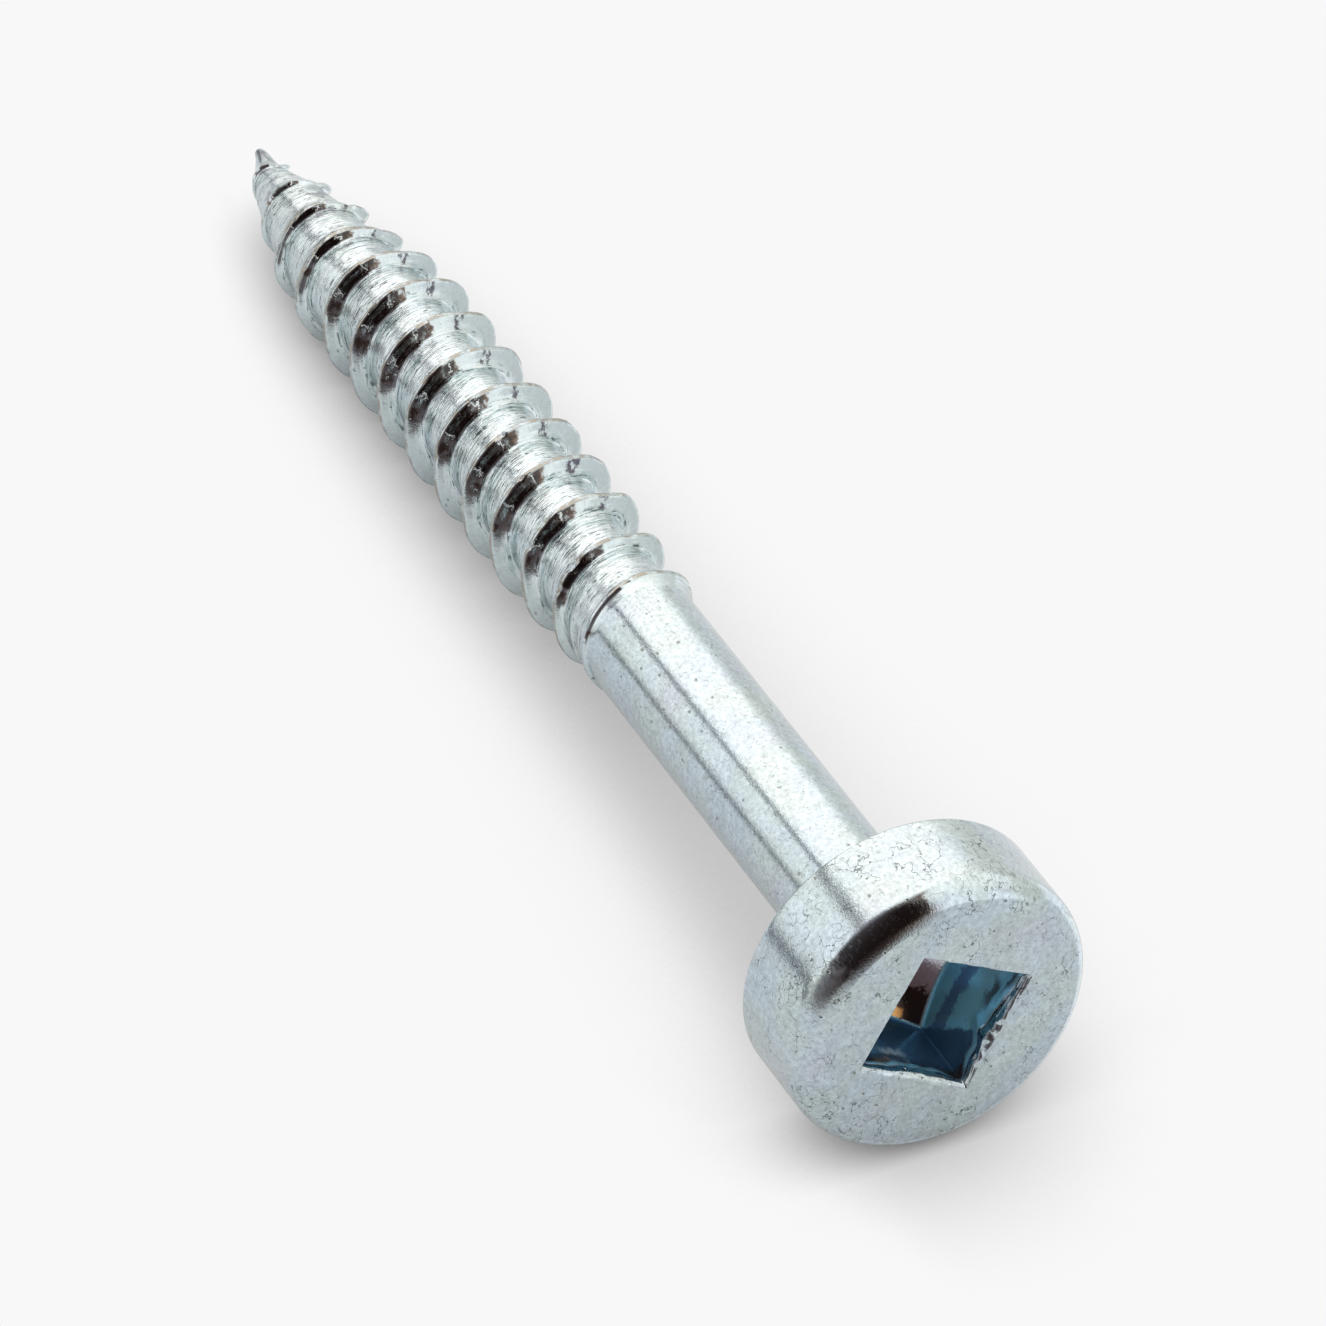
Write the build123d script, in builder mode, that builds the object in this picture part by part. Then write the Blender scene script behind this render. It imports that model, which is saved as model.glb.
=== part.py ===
from build123d import *
import os
from math import cos, radians, sin, sqrt, tan

# A pan-head, square-drive wood screw, cold-formed in one piece from a length of wire.
#
# The screw lies along X. The origin is the centre of the bearing face under the head, the head
# stands on the +X side, and the shank, thread and point run towards -X. +Z is up as the screw
# lies on its side. Millimetres. "Depth" is a distance from the bearing face towards the point.

# Head
HEAD_DIAMETER = 6.75
HEAD_HEIGHT = 2.39
HEAD_ROUND = 0.54  # radius of the edge between the side and the top face
BEARING_ROUND = 0.08  # radius of the lower edge of the side
NECK_ROUND = 0.25  # radius between the bearing face and the shank
# Square recess for the driver
RECESS_ACROSS_FLATS = 2.87  # at the mouth
RECESS_CORNER_DEPTH = 1.85  # from the top face to the foot of each corner
RECESS_DRAFT = 1.5  # degrees, each wall
RECESS_FLOOR_SLOPE = 27.0  # degrees, of the conical floor
RECESS_TURN = 59.7  # degrees about X, how the recess happens to stand
# Shank
LENGTH = 30.5  # from the bearing face to the tip
SHANK_DIAMETER = 2.64
SHANK_END = 11.0
# Thread: right-handed, 18 turns to the inch
PITCH = 25.4 / 18
THREAD_DIAMETER = 3.38
CORE_DIAMETER = 2.28
CREST_LAND = 0.11
FLANK_ANGLE = 27.0  # degrees, each flank from square to the axis
CREST_X = -21.66  # a crest stands here at the angle CREST_ANGLE
CREST_ANGLE = 29.1  # degrees about X, from +Y
RUNOUT_LENGTH = 4.2  # the crest sinks into the shank over this length
ROOT_RISE = 2.4  # the core swells to the shank over this length
# Gimlet point
POINT_PITCH = 1.27
CORE_ARC_START = 24.1  # depth where the core starts to draw in
CREST_ARC_START = 22.4  # depth where the crest starts to draw in
POINT_ARC_RADIUS = 21.0
TIP_CONE_LENGTH = 0.95
TIP_FLAT = 0.05  # radius of the blunt end
# Thread modelling
STATIONS_PER_TURN = 16
RIDGE_BURIED = 0.12  # how far the base of the ridge reaches into the core
CREST_SUNK = 0.03  # how far the crest lies under the shank where the ridge ends

head_radius = HEAD_DIAMETER / 2
shank_radius = SHANK_DIAMETER / 2
thread_radius = THREAD_DIAMETER / 2
core_radius = CORE_DIAMETER / 2
tip_cone_start = LENGTH - TIP_CONE_LENGTH
root_rise_start = SHANK_END + ROOT_RISE
runout_start = SHANK_END + RUNOUT_LENGTH
runout_drop = thread_radius - shank_radius + CREST_SUNK


def arc_drop(past):
    """How far a point arc has dropped, at a distance past the depth where it starts."""
    past = max(past, 0.0)
    return POINT_ARC_RADIUS - sqrt(POINT_ARC_RADIUS**2 - past**2)


def core_at(depth):
    """Core radius at a depth in the threaded length."""
    rise = max(0.0, (root_rise_start - depth) / ROOT_RISE)
    return core_radius + (shank_radius - core_radius) * rise - arc_drop(depth - CORE_ARC_START)


def crest_at(depth):
    """Crest radius at a depth in the threaded length."""
    fade = max(0.0, (runout_start - depth) / RUNOUT_LENGTH)
    return thread_radius - runout_drop * fade - arc_drop(depth - CREST_ARC_START)


def crest_depth(turn):
    """Depth of the crest, counted in turns from CREST_X, positive towards the head."""
    return -CREST_X - turn * (PITCH if turn > 0 else POINT_PITCH)


def ridge_corners(turn):
    """The four corners of the ridge's section at a turn, from the point side round to the head side."""
    depth = crest_depth(turn)
    crest = crest_at(depth)
    root = core_at(depth) - RIDGE_BURIED
    half_land = CREST_LAND / 2
    half_base = half_land + (crest - root) * tan(radians(FLANK_ANGLE))
    angle = radians(CREST_ANGLE + 360 * turn)
    section = [(-half_base, root), (-half_land, crest), (half_land, crest), (half_base, root)]
    return [(x - depth, r * cos(angle), r * sin(angle)) for x, r in section]


def ridge_piece(first_turn, last_turn):
    """A length of the thread's raised ridge, as a solid whose base is buried in the core."""
    steps = max(4, round((last_turn - first_turn) * STATIONS_PER_TURN))
    turns = [first_turn + (last_turn - first_turn) * step / steps for step in range(steps + 1)]
    edges = [
        Edge.make_spline(points, parameters=turns)
        for points in zip(*[ridge_corners(turn) for turn in turns])
    ]
    sides = [Face.make_surface_from_curves(a, b) for a, b in zip(edges, edges[1:] + edges[:1])]
    ends = [Face(Wire.make_polygon([edge @ end for edge in edges])) for end in (0, 1)]
    return Solid(Shell(sides + ends))


def thread_ridge():
    """The whole ridge, in pieces of one turn or less laid end to end."""
    first_turn = (-CREST_X - tip_cone_start) / POINT_PITCH
    last_turn = (-CREST_X - SHANK_END) / PITCH
    stops = [first_turn, *range(int(first_turn), int(last_turn) + 1), last_turn]
    return [ridge_piece(a, b) for a, b in zip(stops, stops[1:])]


# The punch that forms the recess: four drafted walls and a conical nose
corner_radius = RECESS_ACROSS_FLATS / 2 * sqrt(2)
apex_depth = RECESS_CORNER_DEPTH + corner_radius * tan(radians(RECESS_FLOOR_SLOPE))
with BuildPart() as punch:
    with BuildSketch(Plane.YZ.offset(HEAD_HEIGHT)):
        Rectangle(RECESS_ACROSS_FLATS, RECESS_ACROSS_FLATS, rotation=RECESS_TURN)
    extrude(amount=-apex_depth, taper=RECESS_DRAFT)
    with BuildSketch(Plane.XY):
        with BuildLine():
            Polyline(
                (HEAD_HEIGHT, 0),
                (HEAD_HEIGHT, corner_radius),
                (HEAD_HEIGHT - RECESS_CORNER_DEPTH, corner_radius),
                (HEAD_HEIGHT - apex_depth, 0),
                close=True,
            )
        make_face()
    revolve(axis=Axis.X, mode=Mode.INTERSECT)

with BuildPart() as screw:
    # The turned outline: point, core, shank and head
    with BuildSketch(Plane.XY):
        with BuildLine():
            middle = (tip_cone_start + CORE_ARC_START) / 2
            Polyline((-LENGTH, 0), (-LENGTH, TIP_FLAT), (-tip_cone_start, core_at(tip_cone_start)))
            ThreePointArc(
                (-tip_cone_start, core_at(tip_cone_start)),
                (-middle, core_at(middle)),
                (-CORE_ARC_START, core_radius),
            )
            Polyline(
                (-CORE_ARC_START, core_radius),
                (-root_rise_start, core_radius),
                (-SHANK_END, shank_radius),
                (0, shank_radius),
                (0, head_radius),
                (HEAD_HEIGHT, head_radius),
                (HEAD_HEIGHT, 0),
                (-LENGTH, 0),
            )
        make_face()
    revolve(axis=Axis.X)

    # The rounded edges of the head
    circles = screw.edges().filter_by(GeomType.CIRCLE)
    head_rims = circles.filter_by(lambda edge: abs(edge.radius - head_radius) < 0.01)
    neck = circles.filter_by(lambda edge: abs(edge.radius - shank_radius) < 0.01)
    fillet(head_rims.sort_by(Axis.X)[-1], HEAD_ROUND)
    fillet(head_rims.sort_by(Axis.X)[0], BEARING_ROUND)
    fillet(neck.sort_by(Axis.X)[-1], NECK_ROUND)

    # The rolled thread, then the recess
    add(thread_ridge())
    add(punch.part, mode=Mode.SUBTRACT)

screw.part.label = "screw"

os.makedirs("parts", exist_ok=True)
export_step(screw.part, "parts/screw.step")
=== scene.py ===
from math import cos, pi, radians, sin, sqrt, tan

import bpy
import numpy as np
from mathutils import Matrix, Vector


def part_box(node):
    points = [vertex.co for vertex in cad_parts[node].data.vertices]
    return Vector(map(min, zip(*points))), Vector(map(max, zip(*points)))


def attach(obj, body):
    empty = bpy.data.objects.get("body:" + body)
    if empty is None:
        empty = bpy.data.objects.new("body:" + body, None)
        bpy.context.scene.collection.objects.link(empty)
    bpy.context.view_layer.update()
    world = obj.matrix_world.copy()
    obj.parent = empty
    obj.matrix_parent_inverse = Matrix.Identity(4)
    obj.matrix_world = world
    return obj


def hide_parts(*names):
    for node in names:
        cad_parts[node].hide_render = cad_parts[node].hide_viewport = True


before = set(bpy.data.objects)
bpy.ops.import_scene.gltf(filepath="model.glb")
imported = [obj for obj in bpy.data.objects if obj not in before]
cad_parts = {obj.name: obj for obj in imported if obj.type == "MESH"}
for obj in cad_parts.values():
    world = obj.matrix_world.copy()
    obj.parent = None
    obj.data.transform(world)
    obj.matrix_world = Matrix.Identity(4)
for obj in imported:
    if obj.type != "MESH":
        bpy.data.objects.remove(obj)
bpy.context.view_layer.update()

# The looks of a zinc-plated wood screw that lies on its side. The screw's axis is X, its head is
# on the +X side, and X is 0 at the bearing face under the head. Shapes are worked out in
# millimetres and written in metres. Angles about X are in degrees from +Y towards +Z.

MM = 0.001
screw_low, screw_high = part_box("screw")
HEAD_TOP = screw_high[0] / MM
TIP = screw_low[0] / MM
HEAD_RADIUS = screw_high[1] / MM

# Shank and thread, as in the CAD
SHANK_RADIUS = 1.32
SHANK_END = -11.0
THREAD_RADIUS = 1.69
CORE_RADIUS = 1.14
PITCH = 25.4 / 18
POINT_PITCH = 1.40  # a little longer than in the CAD
CREST_X = -21.66
CREST_ANGLE = 29.1
CORE_ARC_START = -24.1
CREST_ARC_START = -22.4
POINT_ARC_RADIUS = 21.0

# Head and recess, as in the CAD
HEAD_ROUND = 0.54
BEARING_ROUND = 0.08
NECK_ROUND = 0.25
RECESS_HALF = 2.87 / 2
RECESS_DRAFT = 1.5
RECESS_CORNER_DEPTH = 1.85
RECESS_FLOOR_SLOPE = 27.0
RECESS_TURN = 59.7

# The thread as the photo shows it
TIP_RADIUS = 0.09
TIP_SLOPE = 0.285  # how fast the cone at the tip widens
RUNOUT_DROP = 0.185  # how far the crest sinks on its way to the shank
COLLAR_SUNK = 0.02  # how far under the shank it ends, at the collar
CORE_GAIN = 0.03  # on the point, against the CAD
CREST_GAIN = 0.05
POINT_LEAN = 0.085  # each turn on the point leans this much more than the one before
LEAN_ANGLE = 28.0
BEND_ANGLE = 208.0  # the way in which the point is bent
CORNER_ANGLE = 18.0  # where the crests on the point stand highest
CORNER_RAMP = 27.0  # degrees over which the wear above it comes on
FLAT_FLANK_ANGLE = 78.0  # the head-side flank where the thread runs out
FLAT_FLANK_DROP = 0.05
# These change along the thread's height or towards the point: (root, crest) or (thread, point)
BEND = (0.20, 0.13)
HALF_LAND = (0.05, 0.08)
ROOT_ROUND = (0.09, 0.06)
HEAD_FLANK_ANGLE = (22.0, 24.0)
POINT_FLANK_ANGLE = (29.0, 48.0)
# Most that a crest is pressed or worn down: in millimetres, and as a share of the thread's depth
PRESSED = (0.19, 0.42)
WORN = (0.25, 0.50)
WORN_UPPER = (0.44, 0.72)
# Angles about X over which wear comes on or goes off: (from none, to full)
PRESSED_SIDE = ((28, 66), (232, 180))
UPPER_SIDE = ((-50, -20), (98, 74))
WORN_ABOVE_ENDS = (200, 155)
WORN_BELOW_RETURNS = (228, 258)
# Stretches of X over which a change comes on: (from none, to full)
CORE_LEAVES_CONE = (-29.6, -28.2)
CORE_GAINS = (-23.8, -26.0)
CORE_SWELLS = (-13.6, -10.9)
CREST_LEAVES_TIP = (TIP + 0.4, TIP + 0.95)
CREST_GAINS = (-24.8, -26.5)
CREST_RUNS_OUT = (-15.2, -12.0)
CREST_MEETS_COLLAR = (-11.7, -10.6)
POINT_PROFILE = (-23.5, -26.5)
FLANK_FLATTENS = (-12.75, -11.95)
THREAD_ENDS = (-11.7, -10.8)
# Lengths of the thread: the stretch where each comes on at its tip end, and at its head end
BENT = ((-30.45, -29.4), (-23.3, -25.6))
LUMPY = ((TIP + 0.2, TIP + 1.2), (-10.8, -11.8))
SCORED = ((TIP + 0.6, TIP + 1.2), (-10.9, -11.9))

# The recess's lip on its top, left, bottom and right wall, as the camera sees them
LIP_ROUND = (0.03, 0.02, 0.24, 0.24)
LIP_BURR = (0.0, 0.0, 0.015, 0.06)
LIP_TEAR = (0.15, 0.1, 0.25, 1.0)
LIP_WAVE = (0.02, 0.03, 0.015, 0.03)
TORN_ANGLE = 317.0  # where the right lip bulges out
TORN_BULGE = 0.09
TORN_WIDTH = 9.0  # degrees

# Mesh
COLUMNS = 360
ROWS_PER_TURN = 40
TIP_RING_X = TIP + 0.06
SHANK_RING_X = -10.2
RING_GAP = 0.2
HEAD_ROUND_SUNK = 0.02  # the rounded edge starts a little lower than in the CAD
HEAD_ROUND_END = 70.0  # degrees round it, where it turns into a short cone
FACE_EDGE_RADIUS = 2.79
FLOOR_TINT = 0.25  # how far the recess's floor is tinted, against its walls

angles = RECESS_TURN % 1 + np.arange(COLUMNS) * 360 / COLUMNS
cosines = np.cos(np.radians(angles))
sines = np.sin(np.radians(angles))
from_flat = (angles - RECESS_TURN + 45) % 90 - 45  # from the middle of the recess's nearest wall


def smooth(low, high, value):
    """0 below low, 1 above high, and an even S curve between."""
    t = np.clip((value - low) / (high - low), 0, 1)
    return t * t * (3 - 2 * t)


def soft_max(a, b, width):
    """The larger of a and b, rounded where they cross."""
    return (a + b + np.sqrt((a - b) ** 2 + width**2)) / 2


def soft_min(a, b, width):
    """The smaller of a and b, rounded where they cross."""
    return (a + b - np.sqrt((a - b) ** 2 + width**2)) / 2


def between(ends, share):
    """The value a share of the way from the first end to the second."""
    return ends[0] + (ends[1] - ends[0]) * share


def within(ends, value):
    """1 inside a range, fading to 0 over the stretch at each of its two ends."""
    low_end, high_end = ends
    return smooth(*low_end, value) * smooth(*high_end, value)


def lumps(points, size, seed, count=32):
    """A smooth random field of about -1 to 1, with lumps about size across."""
    rng = np.random.default_rng(seed)
    directions = rng.normal(size=(count, 3))
    directions /= np.linalg.norm(directions, axis=1)[:, None]
    waves = directions * (2 * pi / (size * rng.uniform(1.5, 3.0, count)))[:, None]
    phases = rng.uniform(0, 2 * pi, count)
    return np.cos(points @ waves.T + phases).sum(axis=-1) * sqrt(0.5 / count)


class Skin:
    """A mesh grown ring by ring, with the surface data that the material reads."""

    def __init__(self):
        self.points = []
        self.zones = []  # crest, recess, thread root
        self.lays = []  # place round the thread's own profile, and height in it
        self.quads = []
        self.count = 0

    def add(self, points, zone=(0, 0, 0), lay=(0, 0, 0)):
        """Adds points and returns their numbers, in the same arrangement."""
        shape = points.shape[:-1]
        size = int(np.prod(shape))
        self.points.append(points.reshape(-1, 3))
        self.zones.append(np.broadcast_to(zone, shape + (3,)).reshape(-1, 3))
        self.lays.append(np.broadcast_to(lay, shape + (3,)).reshape(-1, 3))
        numbers = np.arange(self.count, self.count + size).reshape(shape)
        self.count += size
        return numbers

    def ring(self, x, radius, zone=(0, 0, 0)):
        """Adds one ring about X. x and radius are numbers or one number per column."""
        x = np.broadcast_to(x, COLUMNS)
        points = np.stack([x, radius * cosines, radius * sines], axis=1)
        return self.add(points, zone)

    def bridge(self, first, second):
        """Faces between two rings, with second on the head side of first along the outside."""
        first_next = np.roll(first, -1)
        second_next = np.roll(second, -1)
        self.quads.append(np.stack([first, first_next, second_next, second], axis=-1))

    def build(self, name):
        """The finished mesh object, in metres."""
        points = np.concatenate(self.points)
        quads = np.concatenate([q.reshape(-1, 4) for q in self.quads])
        faces = []
        for quad in quads.tolist():
            corners = [n for k, n in enumerate(quad) if n != quad[k - 1]]
            if len(set(corners)) > 2:
                faces.append(corners)
        used = np.unique([n for face in faces for n in face])
        renumber = np.zeros(len(points), int)
        renumber[used] = np.arange(len(used))
        points = points[used]
        faces = [[int(renumber[n]) for n in face] for face in faces]
        mesh = bpy.data.meshes.new(name)
        mesh.from_pydata(points * MM, [], faces)
        for label, data in (("zone", self.zones), ("lay", self.lays)):
            layer = mesh.attributes.new(label, "FLOAT_VECTOR", "POINT")
            values = np.concatenate(data)[used]
            layer.data.foreach_set("vector", values.astype(np.float32).ravel())
        mesh.validate()
        mesh.shade_smooth()
        piece = bpy.data.objects.new(name, mesh)
        bpy.context.scene.collection.objects.link(piece)
        return piece, points


# ---------------------------------------------------------------------------------------------
# Thread


def arc_drop(past):
    """How far a point arc has dropped, at a distance past where it starts."""
    past = np.maximum(past, 0)
    return POINT_ARC_RADIUS - np.sqrt(POINT_ARC_RADIUS**2 - past**2)


def root_radius(x):
    """Radius at the bottom of the thread."""
    cone = TIP_RADIUS + (x - TIP) * TIP_SLOPE
    swell = (SHANK_RADIUS - CORE_RADIUS) * smooth(*CORE_SWELLS, x)
    core = CORE_RADIUS + swell - arc_drop(CORE_ARC_START - x)
    core = core + CORE_GAIN * smooth(*CORE_GAINS, x)
    return between((cone, core), smooth(*CORE_LEAVES_CONE, x))


def crest_radius(x):
    """Radius over the crest, before wear."""
    runout = RUNOUT_DROP * smooth(*CREST_RUNS_OUT, x)
    crest = THREAD_RADIUS - runout - arc_drop(CREST_ARC_START - x)
    crest = crest + CREST_GAIN * smooth(*CREST_GAINS, x)
    crest = between((crest, SHANK_RADIUS - COLLAR_SUNK), smooth(*CREST_MEETS_COLLAR, x))
    return between((root_radius(x), crest), smooth(*CREST_LEAVES_TIP, x))


def at_most(limits, depth):
    """The smaller of a length and a share of the thread's depth."""
    length, share = limits
    return np.minimum(length, share * depth)


def pressed_down(angle, on_point, depth):
    """How far the crest lies under its full height, at an angle about X and a thread depth.

    On the straight thread it is pressed down evenly over the side that faces the camera. On the
    point it stands highest at CORNER_ANGLE and is worn on both sides of that.
    """
    angle = (angle + 100) % 360 - 100
    pressed = at_most(PRESSED, depth) * within(PRESSED_SIDE, angle)
    ramp = np.clip((angle - CORNER_ANGLE) / CORNER_RAMP, 0, 1)
    above = ramp * smooth(*WORN_ABOVE_ENDS, angle)
    below = smooth(CORNER_ANGLE - 1, CORNER_ANGLE - 23, angle) + smooth(*WORN_BELOW_RETURNS, angle)
    limits = (at_most(WORN, depth), at_most(WORN_UPPER, depth))
    worn = between(limits, within(UPPER_SIDE, angle)) * (above + below)
    return between((pressed, worn), on_point)


def turn_x(turn):
    """Where the crest stands along X at a turn counted from CREST_X."""
    return CREST_X + turn * np.where(turn > 0, PITCH, POINT_PITCH)


def thread_surface(turn, phase, angle):
    """Place along X, radius, and height between root and crest, at a turn, phase and angle."""
    x = turn_x(turn)
    past = x - turn_x(turn - phase)  # from the crest on the point side
    ahead = x - turn_x(turn + 1 - phase)  # from the crest on the head side, negative
    aside = np.where(phase < 0.5, past, ahead)
    leaning = (0.5 + 0.5 * np.cos(np.radians(angle - LEAN_ANGLE))) ** 2
    x = x + POINT_LEAN * np.maximum(-turn, 0) * leaning
    on_point = smooth(*POINT_PROFILE, x)
    on_thread = 1 - smooth(*THREAD_ENDS, x)
    root = root_radius(x)
    crest = crest_radius(x)
    crest = crest - pressed_down(angle, on_point, crest - root) * on_thread
    away = np.abs(aside) - between(HALF_LAND, on_point)
    steep = crest - away / np.tan(np.radians(between(HEAD_FLANK_ANGLE, on_point)))
    flat = np.maximum(steep, crest - FLAT_FLANK_DROP - away / tan(radians(FLAT_FLANK_ANGLE)))
    head_flank = between((steep, flat), smooth(*FLANK_FLATTENS, x))
    point_flank = crest - away / np.tan(np.radians(between(POINT_FLANK_ANGLE, on_point)))
    flank = np.where(aside > 0, head_flank, point_flank)
    outer = soft_min(crest, flank, 0.03 * on_thread + 0.003)
    radius = soft_max(root, outer, between(ROOT_ROUND, on_point) * on_thread + 0.003)
    height = np.clip((radius - root) / np.maximum(crest - root, 0.02), 0, 1)
    return x, radius, height * smooth(0.04, 0.12, crest - root)


def thread_grid():
    """Turn and phase of each point of the helical sheet: a row per step, a column per angle."""
    steps = np.arange(ROWS_PER_TURN) / ROWS_PER_TURN
    phases = steps - 0.6 * np.sin(2 * pi * steps) / (2 * pi)  # closest together at the crest
    offsets = (angles - CREST_ANGLE) / 360
    first_turn = int(np.floor((TIP_RING_X - CREST_X) / POINT_PITCH - offsets[-1])) - 1
    last_turn = int(np.ceil((SHANK_RING_X - CREST_X) / PITCH - offsets[0])) + 1
    starts = np.arange(first_turn, last_turn)
    turns = (starts[:, None] + phases).reshape(-1, 1) + offsets
    phase = np.broadcast_to(np.tile(phases, len(starts))[:, None], turns.shape)
    return turns, phase


def roughened(x, radius, crest_share):
    """The radius with the lumps and the nicked crests of rolled metal."""
    places = np.stack([x, radius * cosines, radius * sines], axis=-1)
    along = places * (1.6, 1.0, 1.0)
    rough = 0.010 * lumps(along, 0.5, 11) + 0.005 * lumps(along, 0.16, 12)
    nicks = smooth(0.4, 0.9, lumps(places, 0.3, 13)) * crest_share
    return radius + rough * within(LUMPY, x) - 0.04 * nicks


def grow_thread(skin):
    """The threaded length as one helical sheet, trimmed to a plain ring at each end."""
    turns, phase = thread_grid()
    x, radius, height = thread_surface(turns, phase, angles)
    crest_share = smooth(0.95, 0.995, height)
    root_share = (1 - smooth(0.1, 0.55, height)) * within(SCORED, x)
    shift = between(BEND, height) * within(BENT, x)
    radius = roughened(x, radius, crest_share)
    bend = radians(BEND_ANGLE)
    y = radius * cosines + shift * cos(bend)
    z = radius * sines + shift * sin(bend)
    zone = np.stack([crest_share, np.zeros_like(x), root_share], axis=-1)
    lay = np.stack([np.cos(2 * pi * phase), np.sin(2 * pi * phase), height], axis=-1)

    tip_ring = skin.ring(TIP_RING_X, root_radius(TIP_RING_X))
    head_ring = skin.ring(SHANK_RING_X, SHANK_RADIUS)
    numbers = skin.add(np.stack([x, y, z], axis=-1), zone, lay)
    numbers = np.where(x <= TIP_RING_X, tip_ring, numbers)
    numbers = np.where(x >= SHANK_RING_X, head_ring, numbers)
    # After its last column, each row runs on into the row one turn further
    onward = np.append(numbers[ROWS_PER_TURN:, 0], np.repeat(head_ring[0], ROWS_PER_TURN))
    numbers = np.column_stack([numbers, onward])
    corners = [numbers[:-1, :-1], numbers[:-1, 1:], numbers[1:, 1:], numbers[1:, :-1]]
    skin.quads.append(np.stack(corners, axis=-1))
    return tip_ring, head_ring


# ---------------------------------------------------------------------------------------------
# Point, shank and head


def grow_tip(skin, tip_ring):
    """The blunt end of the point."""
    previous = tip_ring
    for share in (0.8, 0.55, 0.3):
        x = TIP + (TIP_RING_X - TIP) * (1 - sqrt(1 - share**2)) * 1.2
        ring = skin.ring(x, root_radius(TIP_RING_X) * share)
        skin.bridge(ring, previous)
        previous = ring
    end = skin.add(np.array([[TIP, 0.0, 0.0]]))
    skin.bridge(np.repeat(end, COLUMNS), previous)


def link(skin, previous, x, radius, zone=(0, 0, 0)):
    """Adds a ring and joins it to the one before."""
    ring = skin.ring(x, radius, zone)
    skin.bridge(previous, ring)
    return ring


def square_radius(half):
    """For each column, how far out the recess's square of that half width is."""
    return half / np.cos(np.radians(from_flat))


def grow_shank_and_head(skin, ring):
    """From the thread's end along the shank, round the head and down into the recess."""
    for x in np.arange(SHANK_RING_X + RING_GAP, -NECK_ROUND - 0.05, RING_GAP):
        ring = link(skin, ring, x, SHANK_RADIUS)
    for turn in np.linspace(0, 90, 7):
        x = -NECK_ROUND + NECK_ROUND * sin(radians(turn))
        r = SHANK_RADIUS + NECK_ROUND * (1 - cos(radians(turn)))
        ring = link(skin, ring, x, r)
    for r in np.linspace(SHANK_RADIUS + NECK_ROUND, HEAD_RADIUS - BEARING_ROUND, 12)[1:]:
        ring = link(skin, ring, 0.0, r)
    for turn in np.linspace(0, 90, 6)[1:]:
        x = BEARING_ROUND * (1 - cos(radians(turn)))
        r = HEAD_RADIUS - BEARING_ROUND * (1 - sin(radians(turn)))
        ring = link(skin, ring, x, r)
    side_top = HEAD_TOP - HEAD_ROUND - HEAD_ROUND_SUNK
    for x in np.linspace(BEARING_ROUND, side_top, 26)[1:]:
        ring = link(skin, ring, x, HEAD_RADIUS)
    for turn in np.linspace(0, HEAD_ROUND_END, 19)[1:]:
        x = side_top + HEAD_ROUND * sin(radians(turn))
        r = HEAD_RADIUS - HEAD_ROUND * (1 - cos(radians(turn)))
        ring = link(skin, ring, x, r)
    for share in (0.5, 0.97):
        ring = link(skin, ring, between((x, HEAD_TOP), share), between((r, FACE_EDGE_RADIUS), share))
    return ring


def grow_recess(skin, ring):
    """From the rim of the flat face to the square mouth, round its lip and down to the floor.

    The punch left the bottom lip sheared and the right lip torn, with a burr on each.
    """
    side = ((angles - RECESS_TURN + 45) // 90).astype(int) % 4
    middle = np.cos(np.radians(from_flat * 2)) ** 2  # 1 at the middle of a wall, 0 at its corners
    edge = np.stack([np.zeros(COLUMNS), cosines, sines], axis=1) * 1.6
    coarse = lumps(edge, 0.30, 21)
    ragged = lumps(edge, 0.16, 22)
    bulge = TORN_BULGE * np.exp(-(((angles - TORN_ANGLE) / TORN_WIDTH) ** 2))
    lip = np.choose(side, LIP_ROUND) * (0.7 + 0.35 * middle + 0.25 * coarse) + bulge
    burr = np.choose(side, LIP_BURR) * (0.35 + 0.65 * middle)
    tear = np.choose(side, LIP_TEAR)
    mouth_half = RECESS_HALF + 0.25 * lip + np.choose(side, LIP_WAVE) * coarse * middle

    for share in np.linspace(0, 1, 21):
        face = (FACE_EDGE_RADIUS - 0.008, square_radius(mouth_half + 0.012))
        ring = link(skin, ring, HEAD_TOP, between(face, share**0.8))
    for share in np.linspace(0, 1, 11)[1:]:
        swing = radians(90 * share)
        hump = burr * sin(pi * min(1.0, share * 1.4)) * (1 + 0.5 * ragged * tear)
        folds = np.sin(2 * pi * (2.3 * share + 0.7 * coarse + 0.3 * ragged))
        hump = hump + 0.022 * tear * folds * sin(pi * share)
        rag = 0.025 * lumps(edge + (share * 0.25, 0, 0), 0.3, 23) * tear * sin(pi * share)
        r = square_radius(mouth_half - lip * sin(swing) * 0.9 + rag)
        x = HEAD_TOP - lip * (1 - cos(swing)) * 0.9 + hump
        ring = link(skin, ring, x, r, (0, max(0.0, share - 0.8), 0))
    grow_walls_and_floor(skin, ring, HEAD_TOP - lip * 0.9, mouth_half - lip * 0.9)


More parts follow.
